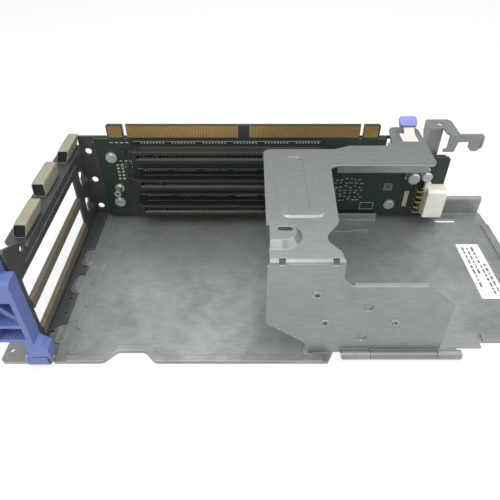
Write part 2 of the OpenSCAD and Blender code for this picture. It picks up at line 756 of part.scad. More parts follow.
// Outline of the arm, in (x, y), from the bend to the latch.
module arm_outline() {
    neck = plate_x + pad_w;
    offset(r = -5, $fn = 64) offset(r = 5, $fn = 64) offset(r = 5, $fn = 64) offset(delta = -5)
        polygon([[plate_x + 1.2, plate_y - 6], [plate_x + 35.4, plate_y - 6],
            [plate_x + 34.6, plate_y + 7], [plate_x + 28.6, plate_y + 15],
            [plate_x + 29.4, plate_y + 20], [neck - 1.2, neck_front_y],
            [neck + 1.4, beam_front_y], [lobe_end, beam_front_y],
            [lobe_end, lobe_back_y], [lobe_x + 1.4, lobe_back_y],
            [lobe_x - 1, beam_back_y], [plate_x + 53, beam_back_y],
            [plate_x + 44, arm_back_y], [plate_x, arm_back_y], [plate_x, neck_front_y]]);
}

// Pressed field of the pad that runs on along the beam.
module outer_field() {
    offset(r = -5, $fn = 48) offset(r = 5, $fn = 48) rounded(6) union() {
        area([plate_x + 6.2, arm_back_y - 70], [plate_x + 31, arm_back_y - 5]);
        area([plate_x + 6.2, beam_front_y + 6.8], [lobe_end - 5.5, arm_back_y - 5]);
    }
}

module inner_field() {
    rounded(4) area([plate_x + 12.8, arm_back_y - 65], [plate_x + 22.8, arm_back_y - 11]);
}

module dome_outline() {
    intersection() {
        translate([plate_x + 1, neck_front_y - 11]) oblong(32, 20);
        area([plate_x - 5, neck_front_y - 30], [plate_x + 40, neck_front_y + 5]);
    }
}

field_h = 0.9;         // height of the pressed field above the arm
field_steps = 3;
dome_h = 3.4;
dome_draft = 2.8;

// Pressed dome: a drafted wall under a flat top.
module dome(grow, h) {
    hull() {
        linear_extrude(eps) offset(delta = grow) dome_outline();
        translate([0, 0, h - eps]) linear_extrude(eps) offset(delta = grow - dome_draft)
            dome_outline();
    }
}

// Raised field with a drafted edge, in steps.
module raised(h, steps, draft, z0) {
    for (i = [0 : steps - 1])
        translate([0, 0, z0 + i * h / steps - eps]) linear_extrude(h / steps + eps)
            offset(delta = -draft * (i + 0.5) / steps) children();
}

module arm_fields() {
    raised(field_h, field_steps, 1.2, arm_z) outer_field();
    intersection() {
        translate([0, 0, arm_z - eps]) dome(0, dome_h + eps);
        block([plate_x + 1.2, plate_y, arm_z - 1], [plate_x + 40, arm_back_y, arm_z + 9]);
    }
}

module arm_hollows() {
    translate([0, 0, arm_z - sheet_t - eps]) linear_extrude(field_h + eps)
        offset(delta = -sheet_t - 0.6) outer_field();
    intersection() {
        translate([0, 0, arm_z - sheet_t - eps]) dome(-0.6, dome_h + eps);
        block([plate_x - 5, plate_y, arm_z - 3], [plate_x + 40, arm_back_y, arm_z + 9]);
    }
    // inner field, pressed back down to the arm's level
    translate([0, 0, arm_z + field_h - 0.6]) linear_extrude(2) inner_field();
}

eyelet_at = [[24, 46], [29.3, 26.2], [64.4, 26.2]];
open_hole_at = [[49.5, 37.7], [49.3, 15.5]];

module securing_plate() {
    gusset_w = 19;
    color("lightgray") difference() {
        union() {
            intersection() {
                xz(plate_y, sheet_t) plate_outline();
                block([plate_x - 1, plate_y - 1, plate_bottom], [plate_end + 1, plate_y + 3,
                    arm_z - bend_r]);
            }
            // bend between plate and arm
            yz(plate_x + 0.9, 34.5) translate([plate_y + bend_r, arm_z - bend_r])
                mirror([1, 0]) bend(bend_r, sheet_t);
            intersection() {
                translate([0, 0, arm_z - sheet_t]) linear_extrude(sheet_t) arm_outline();
                block([plate_x - 1, plate_y + bend_r, 0], [x_right, y_back, arm_z + 9]);
            }
            // pressed gusset across the bend
            yz(plate_x + 9.5, gusset_w) polygon([[plate_y + sheet_t - eps, arm_z - 9],
                [plate_y + 9, arm_z - sheet_t + eps], [plate_y + 9, arm_z - eps],
                [plate_y + 1.6, arm_z - eps], [plate_y + eps, arm_z - 1.6],
                [plate_y + eps, arm_z - 9]]);
            arm_fields();
            // turned-down front edge of the beam
            xz(beam_front_y, sheet_t) area([plate_x + pad_w + 6, arm_z - 5],
                [lobe_end - 5, arm_z - eps]);
            // turned-back top edge of the plate
            translate([0, 0, plate_low_z - sheet_t]) linear_extrude(sheet_t)
                area([plate_x + 41.5, plate_y + eps], [plate_end - 15.6, plate_y + 2.9]);
            // knuckle rolled round the hinge pin
            x_rod(hinge_y, hinge_z, knuckle_2_x, plate_knuckle_l, hinge_r);
            // collars of the three plunged holes
            for (p = eyelet_at) y_rod(plate_x + p[0], p[1], plate_y - 0.5, 1, 5.2);
        }
        arm_hollows();
        // room for the tray's knuckles
        block([knuckle_x - 0.5, plate_y - 1, plate_bottom - 1],
            [knuckle_2_x - knuckle_gap + 0.1, plate_y + 3, hinge_z + hinge_r + 0.6]);
        block([knuckle_2_x + plate_knuckle_l + knuckle_gap - 0.1, plate_y - 1, plate_bottom - 1],
            [plate_end + 1, plate_y + 3, hinge_z + hinge_r + 0.6]);
        x_rod(hinge_y, hinge_z, knuckle_2_x - 1, plate_knuckle_l + 2, bore_r);
        // window for the latch
        translate([0, 0, arm_z - 3]) linear_extrude(6) rounded(1)
            area([window_x, window_y], [window_x + window_w, window_y + window_l]);
        for (p = eyelet_at) y_rod(plate_x + p[0], p[1], plate_y - 2, 5, 2.6);
        for (p = open_hole_at) y_rod(plate_x + p[0], p[1], plate_y - 2, 5, plate_hole_d);
        // oblong hole in the dome
        translate([plate_x + 8.8, neck_front_y - 9.6, arm_z]) linear_extrude(8) oblong(7.4, 3.2);
        // reliefs beside the gusset
        for (x = [plate_x + 6.6, plate_x + 31]) translate([x, plate_y + 1.2, arm_z - 1.2])
            cube([3, 3.4, 2.4], center = true);
    }
}

module hinge_pin() {
    color("gray") x_rod(hinge_y, hinge_z, knuckle_x - 0.8,
        tray_knuckle_l + plate_knuckle_l + end_knuckle_l + 2 * knuckle_gap + 1.6,
        hinge_pin_d / 2);
}

// ---------------------------------------------------------------- latch

module latch_spring() {
    slope_y = leaf_run * cos(leaf_slope);
    slope_z = leaf_run * sin(leaf_slope);
    color("lightgray") union() {
        // foot under the arm
        block([catch_x, foot_y, leaf_z - leaf_t], [leaf_x + leaf_w, leaf_rise_y - 1, leaf_z]);
        // leaf that slopes up through the window
        yz(leaf_x, leaf_w) polygon([[leaf_rise_y - 1 - eps, leaf_z - leaf_t],
            [leaf_rise_y, leaf_z - leaf_t],
            [leaf_rise_y + slope_y, leaf_z - leaf_t + slope_z],
            [leaf_rise_y + slope_y, leaf_z + slope_z], [leaf_rise_y - 0.2, leaf_z],
            [leaf_rise_y - 1 - eps, leaf_z]]);
        // catch that reaches back to the striker hole
        block([catch_x, leaf_rise_y - 1 - eps, leaf_z - leaf_t],
            [catch_x + catch_w, board_y + 0.7, leaf_z]);
        block([catch_x, board_y + 0.2, catch_z], [catch_x + catch_w, board_y + 0.7, leaf_z]);
        block([catch_x, board_y + 0.2, catch_z],
            [catch_x + catch_w, back_y + 0.9, catch_z + leaf_t]);
    }
}

cap_t = 2.8;
cap_l = 8.6;

module latch_cap() {
    color("#6a74c8") translate([leaf_x + leaf_w / 2,
        leaf_rise_y + cap_run * cos(leaf_slope), leaf_z + cap_run * sin(leaf_slope)])
        rotate([leaf_slope, 0, 0]) difference() {
            hull() {
                for (s = [-1, 1]) translate([s * (cap_w / 2 - 2), 0, 0]) {
                    translate([0, 2, -1.5]) cylinder(h = cap_t, r = 2, $fn = 24);
                    translate([0, cap_l - 3, -1.2]) cylinder(h = cap_t - 0.9, r = 2, $fn = 24);
                }
            }
            // pocket for the end of the leaf
            translate([-leaf_w / 2 - 0.1, -1, -leaf_t - 0.1])
                cube([leaf_w + 0.2, leaf_run - cap_run + 1.3, leaf_t + 0.2]);
        }
}

// ---------------------------------------------------------------- card retainer

retainer_wall = 1.8;
stile_w = 2.6;
low_pocket_h = 8.4;
high_pocket_h = 15.6;
rest_x = retainer_x + 1.6;                 // back rest that reaches up beside the wall's ear
rest_end = wall_x - sheet_t - 0.6;
rest_back = wall_front_y + 2.6;

// Hollows of the frame, open forwards: two pockets and the back rest's mouth.
module retainer_hollows(y, back) {
    end = retainer_x + retainer_w - stile_w;
    low = frame_z + retainer_wall;
    high = low + low_pocket_h + retainer_wall;
    block([retainer_x + retainer_wall, y - 1, low],
        [end, back - retainer_wall, low + low_pocket_h]);
    difference() {
        block([retainer_x + retainer_wall, y - 1, high],
            [end, back - retainer_wall, high + high_pocket_h]);
        // slanted web across the upper pocket
        xz(y + 2.4, retainer_d) polygon([[retainer_x, high + high_pocket_h + 1],
            [retainer_x + 2.4, high + high_pocket_h + 1], [end + 1, high + 1],
            [end + 1, high - 1], [end - 1.4, high - 1]]);
    }
    block([rest_x + retainer_wall, back - eps, retainer_h + 0.8],
        [rest_end - retainer_wall, rest_back - retainer_wall, retainer_back_h - 1.4]);
}

module card_retainer() {
    x = retainer_x;
    end = retainer_x + retainer_w;
    y = retainer_y;
    back = retainer_y + retainer_d;
    color("#4f62b0") difference() {
        union() {
            // frame, with a rounded top edge at the front
            yz(x, retainer_w) union() {
                area([y, frame_z], [back, retainer_h - 2.5]);
                area([y + 2.5, retainer_h - 3], [back, retainer_h]);
                translate([y + 2.5, retainer_h - 2.5]) circle(r = 2.5, $fn = 32);
            }
            // stile that runs down to the cuff
            block([end - stile_w - 1, y, cuff_z], [end, back, frame_z + eps]);
            // cuff over the barrel, chamfered at its free end
            xz(y, retainer_d - 1.4) polygon([[wall_x - 1, cuff_z], [wall_x + 9.3, cuff_z],
                [wall_x + 9.3, frame_z - 6], [wall_x + 6, frame_z - 3], [wall_x - 1, frame_z]]);
            // barrel round the pin and the web that carries it
            x_rod(retainer_axis_y, retainer_axis_z, barrel_x, barrel_l, retainer_r);
            yz(barrel_x + 3, barrel_l - 3) polygon([[retainer_axis_y - 4.2, retainer_axis_z],
                [retainer_axis_y + 4.2, retainer_axis_z], [back - 1.4, cuff_z + eps],
                [y + 0.2, cuff_z + eps]]);
            block([rest_x, back - 2, retainer_h - 16],
                [rest_end, rest_back, retainer_back_h]);
        }
        retainer_hollows(y, back);
        // groove under the cuff's front
        block([wall_x - 0.2, y - 1, cuff_z + 0.4], [wall_x + 8.4, y + 1.2, cuff_z + 1.3]);
        x_rod(retainer_axis_y, retainer_axis_z, barrel_x - 1, barrel_l + 2, retainer_bore_r);
    }
}

module retainer_pin() {
    color("gray") x_rod(retainer_axis_y, retainer_axis_z, notch_x[0] - 0.6,
        notch_x[1] - notch_x[0] + 1.2, retainer_pin_d / 2);
}

// ---------------------------------------------------------------- nodes

tray();
rear_frame();
riser_board();
slot_connector(0);  // slot_connector_1
slot_connector(1);  // slot_connector_2
slot_connector(2);  // slot_connector_3
slot_contacts();
board_standoffs();
board_screws();
guide_post();
capacitors();
power_header();
header_pins();
board_chips();
board_passives();
slot_gasket(1, 5);  // slot_gasket_upper
slot_gasket(2, 5);  // slot_gasket_lower
foam_gasket(wall_x - 9.1, board_y - 93, 23, 2.5);  // foam_gasket_front
foam_gasket(wall_x - 10.6, board_y - 56, 24, 0.4);  // foam_gasket_middle
foam_gasket(wall_x - 9.3, board_y - 19.5, 23, 2.6);  // foam_gasket_back
wall_rivets();
hook_bracket();
hook_rivets();
board_clip();
securing_plate();
hinge_pin();
latch_spring();
latch_cap();
card_retainer();
retainer_pin();
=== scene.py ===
"""Riser cage bracket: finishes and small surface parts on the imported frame, with its stage and camera."""

import math

import bpy
import numpy as np
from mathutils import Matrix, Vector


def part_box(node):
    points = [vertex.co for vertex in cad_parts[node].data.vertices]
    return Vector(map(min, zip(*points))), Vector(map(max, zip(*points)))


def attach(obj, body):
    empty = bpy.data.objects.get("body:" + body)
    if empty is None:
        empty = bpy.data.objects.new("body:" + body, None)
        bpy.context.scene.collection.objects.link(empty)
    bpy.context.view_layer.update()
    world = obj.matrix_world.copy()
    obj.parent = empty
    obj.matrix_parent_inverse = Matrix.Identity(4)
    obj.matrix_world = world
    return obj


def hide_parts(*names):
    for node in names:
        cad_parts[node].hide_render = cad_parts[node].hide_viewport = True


bl_info = {
    "name": "Riser Cage Bracket",
    "version": (1, 0, 0),
    "blender": (4, 5, 0),
    "location": "3D View > Sidebar > Riser Cage",
    "description": "Finishes a folded-sheet riser cage with its board details, seals and label",
    "category": "Object",
}

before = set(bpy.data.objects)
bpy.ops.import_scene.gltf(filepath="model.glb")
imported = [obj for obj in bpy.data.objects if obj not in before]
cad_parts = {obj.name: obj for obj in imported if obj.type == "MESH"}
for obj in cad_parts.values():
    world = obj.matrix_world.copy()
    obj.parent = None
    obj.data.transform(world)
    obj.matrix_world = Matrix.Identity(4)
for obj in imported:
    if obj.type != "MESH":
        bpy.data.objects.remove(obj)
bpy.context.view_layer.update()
MM = 0.001


def span(node):
    """Lowest and highest corner of a CAD node, in millimetres."""
    low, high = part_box(node)
    return np.array(low) / MM, np.array(high) / MM


BOARD_LOW, BOARD_HIGH = span("riser_board")
BOARD_FRONT = BOARD_LOW[1]
BOARD_BACK = BOARD_HIGH[1]
EDGE_TOP = BOARD_HIGH[2]
EDGE_INSET = 9.5                    # board's left end to the start of its contact edge
EDGE_LEFT = BOARD_LOW[0] + EDGE_INSET
EDGE_LENGTH = 173.8
SHEET_THICK = 1.2
FLOOR_TOP = span("tray")[0][2] + SHEET_THICK
INK_THICK = 0.05
SLOTS = ("slot_connector_1", "slot_connector_2", "slot_connector_3")
SEALS = ("foam_gasket_front", "foam_gasket_middle", "foam_gasket_back")


# ------------------------------------------------------------------ mesh helpers


def mesh_object(name, points, faces, body, materials, part=None):
    """Makes one object from arrays of points (millimetres) and four-sided faces, and rides it on a body.
    part gives each face its material's number."""
    mesh = bpy.data.meshes.new(name)
    mesh.from_pydata((np.asarray(points) * MM).tolist(), [], np.asarray(faces).tolist())
    for material in materials:
        mesh.materials.append(material)
    if part is not None:
        mesh.polygons.foreach_set("material_index", np.asarray(part, dtype=np.int32))
    mesh.update()
    piece = bpy.data.objects.new(name, mesh)
    bpy.context.scene.collection.objects.link(piece)
    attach(piece, body)
    return piece


def blocks(centres, sizes):
    """Corners and faces of many boxes: corner = centre + half size times each sign of (x, y, z)."""
    centres = np.atleast_2d(np.asarray(centres, float))
    sizes = np.broadcast_to(np.asarray(sizes, float), centres.shape)
    signs = np.array([[x, y, z] for x in (-1, 1) for y in (-1, 1) for z in (-1, 1)], float)
    points = centres[:, None, :] + signs[None] * sizes[:, None, :] / 2
    quads = np.array([[0, 1, 3, 2], [4, 6, 7, 5], [0, 4, 5, 1], [2, 3, 7, 6], [0, 2, 6, 4], [1, 5, 7, 3]])
    faces = quads[None] + 8 * np.arange(len(centres))[:, None, None]
    return points.reshape(-1, 3), faces.reshape(-1, 4)


def domes(centres, radius, height, around=10, rings=4):
    """Low domes that stand out towards -Y: distance from the axis = radius cos(a) and y = -height sin(a),
    with a from 0 to a quarter turn."""
    centres = np.atleast_2d(np.asarray(centres, float))
    turn = np.linspace(0, 2 * math.pi, around, endpoint=False)
    rise = np.linspace(0, math.pi / 2 * 0.96, rings)
    x = radius * np.cos(rise)[:, None] * np.cos(turn)[None]
    z = radius * np.cos(rise)[:, None] * np.sin(turn)[None]
    y = -height * np.sin(rise)[:, None] * np.ones(around)[None]
    one = np.stack([x, y, z], -1).reshape(-1, 3)
    a = (np.arange(rings - 1)[:, None] * around + np.arange(around)[None]).ravel()
    b = (np.arange(rings - 1)[:, None] * around + (np.arange(around)[None] + 1) % around).ravel()
    sides = np.stack([a, a + around, b + around, b], -1)
    half = around // 2
    last = (rings - 1) * around
    k = np.arange(half - 1)
    cap = np.stack([last + k, last + k + 1, last + around - 2 - k, last + around - 1 - k], -1)
    base = np.stack([k, around - 1 - k, around - 2 - k, k + 1], -1)
    faces = np.concatenate([sides, cap[:, ::-1], base[:, ::-1]])
    points = centres[:, None, :] + one[None]
    faces = faces[None] + len(one) * np.arange(len(centres))[:, None, None]
    return points.reshape(-1, 3), faces.reshape(-1, 4)


def ease_edges(piece, width):
    """Cuts a piece's edges back by width, in millimetres."""
    bevel = piece.modifiers.new("eased edges", "BEVEL")
    bevel.width = width * MM
    bevel.segments = 1
    bevel.limit_method = "ANGLE"


# ------------------------------------------------------------------ shader groups


def node_group(name, inputs, outputs):
    """An empty shader group. inputs are (name, default) pairs, outputs (name, socket type) pairs."""
    tree = bpy.data.node_groups.new(name, "ShaderNodeTree")
    for label, default in inputs:
        socket = tree.interface.new_socket(name=label, in_out="INPUT", socket_type="NodeSocketFloat")
        socket.default_value = default
    for label, kind in outputs:
        tree.interface.new_socket(name=label, in_out="OUTPUT", socket_type=kind)
    return tree, tree.nodes.new("NodeGroupInput"), tree.nodes.new("NodeGroupOutput")


def link(tree, source, target):
    """Joins two sockets."""
    tree.links.new(source, target)


def maths(tree, operation, first, second=None, clamp=False):
    """A Math node whose inputs are sockets or numbers; returns its output."""
    node = tree.nodes.new("ShaderNodeMath")
    node.operation = operation
    node.use_clamp = clamp
    for socket, value in zip(node.inputs, (first, second)):
        if value is None:
            continue
        if isinstance(value, (int, float)):
            socket.default_value = value
        else:
            link(tree, value, socket)
    return node.outputs[0]


def noise(tree, scale, detail=3.0, stretch=(1, 1, 1), rough=0.55):
    """Noise in Object coordinates, stretched along the axes; returns its value socket."""
    place = tree.nodes.new("ShaderNodeTexCoord")
    turn = tree.nodes.new("ShaderNodeMapping")
    turn.inputs["Scale"].default_value = stretch
    field = tree.nodes.new("ShaderNodeTexNoise")
    field.inputs["Scale"].default_value = scale
    field.inputs["Detail"].default_value = detail
    field.inputs["Roughness"].default_value = rough
    link(tree, place.outputs["Object"], turn.inputs["Vector"])
    link(tree, turn.outputs["Vector"], field.inputs["Vector"])
    return field.outputs["Fac"]


def edge_group():
    """Worn and rounded edges: the bevelled normal, and a mask of how far it leans from the flat one. The mask
    marks where edges are painted lighter, partly wear and partly a painted highlight.
    """
    tree, given, out = node_group(
        "edge rub and highlight", [("Radius", 0.0005), ("Strength", 1.0)],
        [("Mask", "NodeSocketFloat"), ("Normal", "NodeSocketVector")])
    bevel = tree.nodes.new("ShaderNodeBevel")
    bevel.samples = 6
    link(tree, given.outputs["Radius"], bevel.inputs["Radius"])
    flat = tree.nodes.new("ShaderNodeNewGeometry")
    dot = tree.nodes.new("ShaderNodeVectorMath")
    dot.operation = "DOT_PRODUCT"
    link(tree, bevel.outputs["Normal"], dot.inputs[0])
    link(tree, flat.outputs["Normal"], dot.inputs[1])
    lean = maths(tree, "SUBTRACT", 1.0, dot.outputs["Value"], True)
    broken = maths(tree, "MULTIPLY_ADD", noise(tree, 420), 1.4)
    broken.node.inputs[2].default_value = 0.1
    mask = maths(tree, "MULTIPLY", maths(tree, "MULTIPLY", lean, 5.0), broken)
    link(tree, maths(tree, "MULTIPLY", mask, given.outputs["Strength"], True), out.inputs["Mask"])
    link(tree, bevel.outputs["Normal"], out.inputs["Normal"])
    return tree


def mottle_group():
    """Zinc sheet: cloudy patches, fine rolling grain along X, and stray scratches."""
    tree, given, out = node_group(
        "zinc mottle", [("Cloud", 0.5), ("Grain", 0.5)],
        [("Shade", "NodeSocketFloat"), ("Height", "NodeSocketFloat")])
    cloud = maths(tree, "SUBTRACT", noise(tree, 28, 5.0), 0.5)
    patch = maths(tree, "SUBTRACT", noise(tree, 130, 3.0), 0.5)
    grain = maths(tree, "SUBTRACT", noise(tree, 900, 2.0, (0.12, 1, 1)), 0.5)
    broad = maths(tree, "MULTIPLY", maths(tree, "ADD", cloud, maths(tree, "MULTIPLY", patch, 0.5)),
                  given.outputs["Cloud"])
    fine = maths(tree, "MULTIPLY", grain, given.outputs["Grain"])
    scratch = maths(tree, "GREATER_THAN", noise(tree, 260, 2.0, (0.05, 1, 0.4)), 0.735)
    shade = maths(tree, "ADD", maths(tree, "ADD", broad, fine), maths(tree, "MULTIPLY", scratch, 0.06))
    link(tree, shade, out.inputs["Shade"])
    link(tree, maths(tree, "ADD", fine, maths(tree, "MULTIPLY", patch, 0.4)), out.inputs["Height"])
    return tree


def grain_group():
    """Moulded plastic: a spark-eroded grain, with a faint cloudy tone."""
    tree, given, out = node_group(
        "moulded grain", [("Tone", 0.3)],
        [("Shade", "NodeSocketFloat"), ("Height", "NodeSocketFloat")])
    cloud = maths(tree, "SUBTRACT", noise(tree, 90, 3.0), 0.5)
    link(tree, maths(tree, "MULTIPLY", cloud, given.outputs["Tone"]), out.inputs["Shade"])
    link(tree, noise(tree, 2600, 2.0), out.inputs["Height"])
    return tree


def weave_group():
    """Woven conductive cloth: two crossed sets of threads, with a slow change of tone."""
    tree, given, out = node_group(
        "cloth weave", [("Pitch", 1.0)],
        [("Shade", "NodeSocketFloat"), ("Height", "NodeSocketFloat")])
    place = tree.nodes.new("ShaderNodeTexCoord")
    split = tree.nodes.new("ShaderNodeSeparateXYZ")
    link(tree, place.outputs["Object"], split.inputs[0])
    across = maths(tree, "ADD", split.outputs["X"], split.outputs["Z"])
    rate = maths(tree, "MULTIPLY", given.outputs["Pitch"], 9000.0)
    warp = maths(tree, "SINE", maths(tree, "MULTIPLY", across, rate))
    weft = maths(tree, "SINE", maths(tree, "MULTIPLY", split.outputs["Y"], rate))
    knot = maths(tree, "MULTIPLY", warp, weft)
    slow = maths(tree, "SUBTRACT", noise(tree, 160, 4.0), 0.5)
    link(tree, maths(tree, "ADD", maths(tree, "MULTIPLY", knot, 0.05), maths(tree, "MULTIPLY", slow, 0.5)),
         out.inputs["Shade"])
    link(tree, knot, out.inputs["Height"])
    return tree


GROUPS = {}


def shared(name):
    """The shared shader group of that name, built once."""
    makers = {"edge": edge_group, "mottle": mottle_group, "grain": grain_group, "weave": weave_group}
    if name not in GROUPS:
        GROUPS[name] = makers[name]()
    return GROUPS[name]


# ------------------------------------------------------------------ materials


def finish_material(name, colour, wear_and_highlight_colour, rough, metallic, pattern, values, shade=1.0, bump=0.2,
                    edge=0.0005, wear_and_highlight=1.0, ends=None):
    """A Principled surface: a shared pattern shades its colour and roughness and raises its bump,
    and edges blend towards a second, lighter colour, partly wear and partly a painted highlight. ends paints
    faces that look along Y."""
    material = bpy.data.materials.new(name)
    material.use_nodes = True
    tree = material.node_tree
    surface = tree.nodes["Principled BSDF"]
    texture = tree.nodes.new("ShaderNodeGroup")
    texture.node_tree = shared(pattern)
    for label, value in values.items():
        texture.inputs[label].default_value = value
    edges = tree.nodes.new("ShaderNodeGroup")
    edges.node_tree = shared("edge")
    edges.inputs["Radius"].default_value = edge
    edges.inputs["Strength"].default_value = wear_and_highlight
    tone = maths(tree, "MULTIPLY_ADD", texture.outputs["Shade"], shade)
    tone.node.inputs[2].default_value = 1.0
    scaled = tree.nodes.new("ShaderNodeVectorMath")
    scaled.operation = "SCALE"
    scaled.inputs[0].default_value = colour[:3]
    link(tree, tone, scaled.inputs["Scale"])
    # Edges are painted towards the second colour: partly wear, partly a painted highlight along edges.
    mix = tree.nodes.new("ShaderNodeMix")
    mix.data_type = "RGBA"
    link(tree, edges.outputs["Mask"], mix.inputs["Factor"])
    link(tree, scaled.outputs[0], mix.inputs["A"])
    mix.inputs["B"].default_value = (*wear_and_highlight_colour[:3], 1)
    painted = mix.outputs["Result"]
    if ends is not None:
        flat = tree.nodes.new("ShaderNodeNewGeometry")
        split = tree.nodes.new("ShaderNodeSeparateXYZ")
        link(tree, flat.outputs["Normal"], split.inputs[0])
        facing = maths(tree, "GREATER_THAN", maths(tree, "ABSOLUTE", split.outputs["Y"]), 0.9)
        cap = tree.nodes.new("ShaderNodeMix")
        cap.data_type = "RGBA"
        link(tree, facing, cap.inputs["Factor"])
        link(tree, painted, cap.inputs["A"])
        cap.inputs["B"].default_value = (*ends[:3], 1)
        painted = cap.outputs["Result"]
    link(tree, painted, surface.inputs["Base Color"])
    dull = maths(tree, "MULTIPLY_ADD", texture.outputs["Shade"], -0.35)
    dull.node.inputs[2].default_value = rough
    link(tree, dull, surface.inputs["Roughness"])
    surface.inputs["Metallic"].default_value = metallic
    relief = tree.nodes.new("ShaderNodeBump")
    relief.inputs["Strength"].default_value = bump
    relief.inputs["Distance"].default_value = 0.0001
    link(tree, texture.outputs["Height"], relief.inputs["Height"])
    link(tree, edges.outputs["Normal"], relief.inputs["Normal"])
    link(tree, relief.outputs["Normal"], surface.inputs["Normal"])
    return material


def zinc(name, tone, cloud=0.5, rough=0.42, metallic=0.55, wear_and_highlight=0.7):
    """Galvanised sheet at a given tone of grey."""
    grey = (0.94 * tone, 1.0 * tone, 0.965 * tone)
    # The edge colour, lighter than the sheet: a painted highlight along pressed edges, with some wear.
    bright = (min(1.0, 1.45 * tone + 0.1),) * 3
    return finish_material(name, grey, bright, rough, metallic, "mottle",
                           {"Cloud": cloud, "Grain": 0.35}, bump=0.12, wear_and_highlight=wear_and_highlight)


def plastic(name, colour, wear_and_highlight_colour, rough=0.5, bump=0.15, wear_and_highlight=0.5, edge=0.0004):
    """Moulded plastic."""
    return finish_material(name, colour, wear_and_highlight_colour, rough, 0.0, "grain", {"Tone": 0.35}, bump=bump,
                           wear_and_highlight=wear_and_highlight, edge=edge)


def board_material(settings):
    """Solder mask over copper: faint traces under a satin coat."""
    material = finish_material("solder_mask", settings.board_colour, (0.32, 0.29, 0.2), 0.38, 0.0, "grain",
                               {"Tone": 0.4}, bump=0.05, edge=0.0003, wear_and_highlight=1.2)
    tree = material.node_tree
    surface = tree.nodes["Principled BSDF"]
    under = surface.inputs["Base Color"].links[0].from_socket
    place = tree.nodes.new("ShaderNodeTexCoord")
    turn = tree.nodes.new("ShaderNodeMapping")
    turn.inputs["Rotation"].default_value = (math.radians(90), 0, 0)
    traces = tree.nodes.new("ShaderNodeTexBrick")
    traces.inputs["Scale"].default_value = 420
    traces.inputs["Mortar Size"].default_value = 0.012
    traces.inputs["Brick Width"].default_value = 2.6
    traces.inputs["Row Height"].default_value = 0.35
    traces.inputs["Color1"].default_value = (0, 0, 0, 1)
    traces.inputs["Color2"].default_value = (0.25, 0.25, 0.25, 1)
    traces.inputs["Mortar"].default_value = (1, 1, 1, 1)
    link(tree, place.outputs["Object"], turn.inputs["Vector"])
    link(tree, turn.outputs["Vector"], traces.inputs["Vector"])
    mix = tree.nodes.new("ShaderNodeMix")
    mix.data_type = "RGBA"
    mix.blend_type = "ADD"
    mix.inputs["Factor"].default_value = 1.0
    fade = tree.nodes.new("ShaderNodeVectorMath")
    fade.operation = "MULTIPLY"
    fade.inputs[1].default_value = (0.012, 0.022, 0.016)
    link(tree, traces.outputs["Color"], fade.inputs[0])
    link(tree, under, mix.inputs["A"])
    link(tree, fade.outputs[0], mix.inputs["B"])
    link(tree, mix.outputs["Result"], surface.inputs["Base Color"])
    return material


def paint(node, material):
    """Gives a CAD node its material."""
    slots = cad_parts[node].data.materials
    slots.clear()
    slots.append(material)


# ------------------------------------------------------------------ settings


def colour_property(name, description, default):
    """A colour that a user can change."""
    return bpy.props.FloatVectorProperty(name=name, description=description, default=default, subtype="COLOR",
                                         size=3, min=0.0, max=1.0)


class RiserCageFinishes(bpy.types.PropertyGroup):
    """Colours of the cage."""

    sheet_tone: bpy.props.FloatProperty(
        name="Sheet tone", description="Brightness of the galvanised sheet", default=0.27, min=0.1, max=0.9,
        subtype="FACTOR")
    board_colour: colour_property("Board", "Solder mask of the riser board", (0.010, 0.022, 0.016))
    retainer_colour: colour_property("Retainer", "Plastic of the card retainer", (0.10, 0.145, 0.36))
    cap_colour: colour_property("Latch cap", "Plastic of the latch cap", (0.19, 0.22, 0.55))
    cloth_colour: colour_property("Seals", "Cloth over the foam seals", (0.30, 0.28, 0.20))
    gold_colour: colour_property("Contacts", "Plating of the contact edge", (0.40, 0.25, 0.075))
    nylon_colour: colour_property("Header", "Nylon of the power header", (0.78, 0.75, 0.66))


class RiserCageSizes(bpy.types.PropertyGroup):
    """Sizes of the surface parts."""

    finger_pitch: bpy.props.FloatProperty(
        name="Finger pitch", description="Distance between two contact fingers", default=1.0 * MM,
        min=0.8 * MM, max=2 * MM, unit="LENGTH", precision=5)
    finger_height: bpy.props.FloatProperty(
        name="Finger height", description="Height of the contact fingers", default=8.0 * MM,
        min=4 * MM, max=9 * MM, unit="LENGTH", precision=5)
    joint_radius: bpy.props.FloatProperty(
        name="Solder joint", description="Radius of a solder joint", default=0.45 * MM, min=0.2 * MM,
        max=0.8 * MM, unit="LENGTH", precision=5)
    label_width: bpy.props.FloatProperty(
        name="Label width", description="Width of the label on the tray", default=15 * MM, min=8 * MM,
        max=18 * MM, unit="LENGTH", precision=5)


def finishes():
    """The scene's colours."""
    return bpy.context.scene.riser_cage_finishes


def sizes():
    """The scene's sizes."""
    return bpy.context.scene.riser_cage_sizes


class RiserOperator(bpy.types.Operator):
    """Base for the cage's operators."""

    bl_options = {"REGISTER", "UNDO"}

    def execute(self, context):
        self.build()
        return {"FINISHED"}


class RISER_OT_sheet(RiserOperator):
    """Finishes the folded sheet: tray, frame, plate, hook and clip."""

    bl_idname = "riser.sheet"
    bl_label = "Folded sheet"

    def build(self):
        tone = finishes().sheet_tone
        # The larger edge strengths on the tray and plate paint their pressed edges brighter, a painted
        # highlight.
        paint("tray", zinc("zinc_tray", 1.02 * tone, 0.95, 0.42, 0.55, 1.3))
        # The frame is painted at about a third of the sheet's tone: painted shade for its wall turned away
        # from the light.
        paint("rear_frame", zinc("zinc_frame", 0.36 * tone, 0.5, 0.5))
        paint("securing_plate", zinc("zinc_plate", 1.0 * tone, 0.35, 0.36, 0.7, 1.8))
        paint("hook_bracket", zinc("zinc_hook", 0.92 * tone, 0.3))
        paint("board_clip", zinc("zinc_clip", 1.1 * tone, 0.3))


